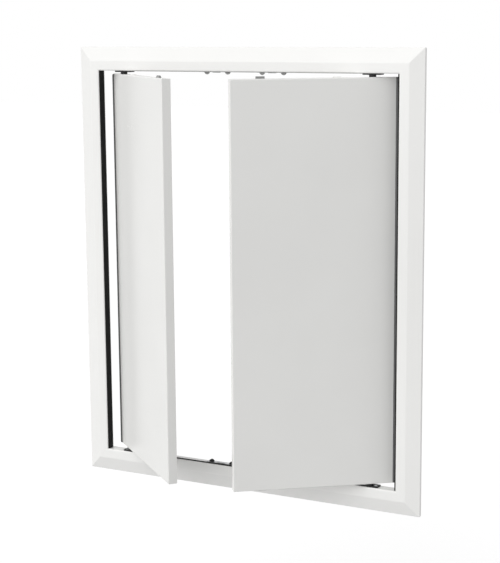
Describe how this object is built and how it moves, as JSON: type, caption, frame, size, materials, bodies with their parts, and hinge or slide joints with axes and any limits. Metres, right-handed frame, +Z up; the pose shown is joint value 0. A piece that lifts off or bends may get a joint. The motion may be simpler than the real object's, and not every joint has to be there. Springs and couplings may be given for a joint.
{
  "type": "access panel",
  "caption": "White double-leaf access panel for a wall or ceiling cut-out: bevelled frame with a collar and two pivoted snap-shut leaves that swing out from the middle.",
  "frame": {"origin": "centre of the wall cut-out, in the plane of the wall, where the bezel's back edge rests", "axes": "+X to the right seen from the front, +Y through the cut-out into the wall, +Z up; the front faces -Y"},
  "size_m": [0.536, 0.1585, 0.636],
  "materials": {
    "white_plastic": "gloss, moulded",
    "black_seal": "satin black",
    "black_plastic": "satin black",
    "grey_plastic": "matt",
    "spring_steel": "satin",
    "pin_steel": "zinc plated"
  },
  "bodies": {
    "frame": {"frame_head": "white_plastic", "frame_sill": "white_plastic", "frame_left_stile": "white_plastic", "frame_right_stile": "white_plastic", "corner_key_top_left": "grey_plastic", "corner_key_top_right": "grey_plastic", "corner_key_bottom_left": "grey_plastic", "corner_key_bottom_right": "grey_plastic", "head_seal": "black_seal", "sill_seal": "black_seal", "left_jamb_seal": "black_seal", "right_jamb_seal": "black_seal", "pivot_bearing_top_left": "black_plastic", "pivot_bearing_top_right": "black_plastic", "pivot_bearing_bottom_left": "black_plastic", "pivot_bearing_bottom_right": "black_plastic", "bearing_screws": "pin_steel", "catch_clip_top_left": "spring_steel", "catch_clip_top_right": "spring_steel", "catch_clip_bottom_left": "spring_steel", "catch_clip_bottom_right": "spring_steel", "head_catch_rivets": "black_plastic", "sill_catch_rivets": "black_plastic"},
    "left_leaf": {"left_leaf_panel": "white_plastic", "left_leaf_edge_bead": "black_seal", "left_leaf_top_pin": "pin_steel", "left_leaf_bottom_pin": "pin_steel", "left_leaf_top_strike": "grey_plastic", "left_leaf_bottom_strike": "grey_plastic"},
    "right_leaf": {"right_leaf_panel": "white_plastic", "right_leaf_edge_bead": "black_seal", "right_leaf_top_pin": "pin_steel", "right_leaf_bottom_pin": "pin_steel", "right_leaf_top_strike": "grey_plastic", "right_leaf_bottom_strike": "grey_plastic"}
  },
  "joints": [
    {"name": "left_leaf_swing", "type": "hinge", "parent": "frame", "child": "left_leaf", "pos_m": [-0.194, -0.005, 0], "axis": [0, 0, -1], "range_deg": [-41, 59]},
    {"name": "right_leaf_swing", "type": "hinge", "parent": "frame", "child": "right_leaf", "pos_m": [0.194, -0.005, 0], "axis": [0, 0, 1], "range_deg": [-37, 63]}
  ]
}
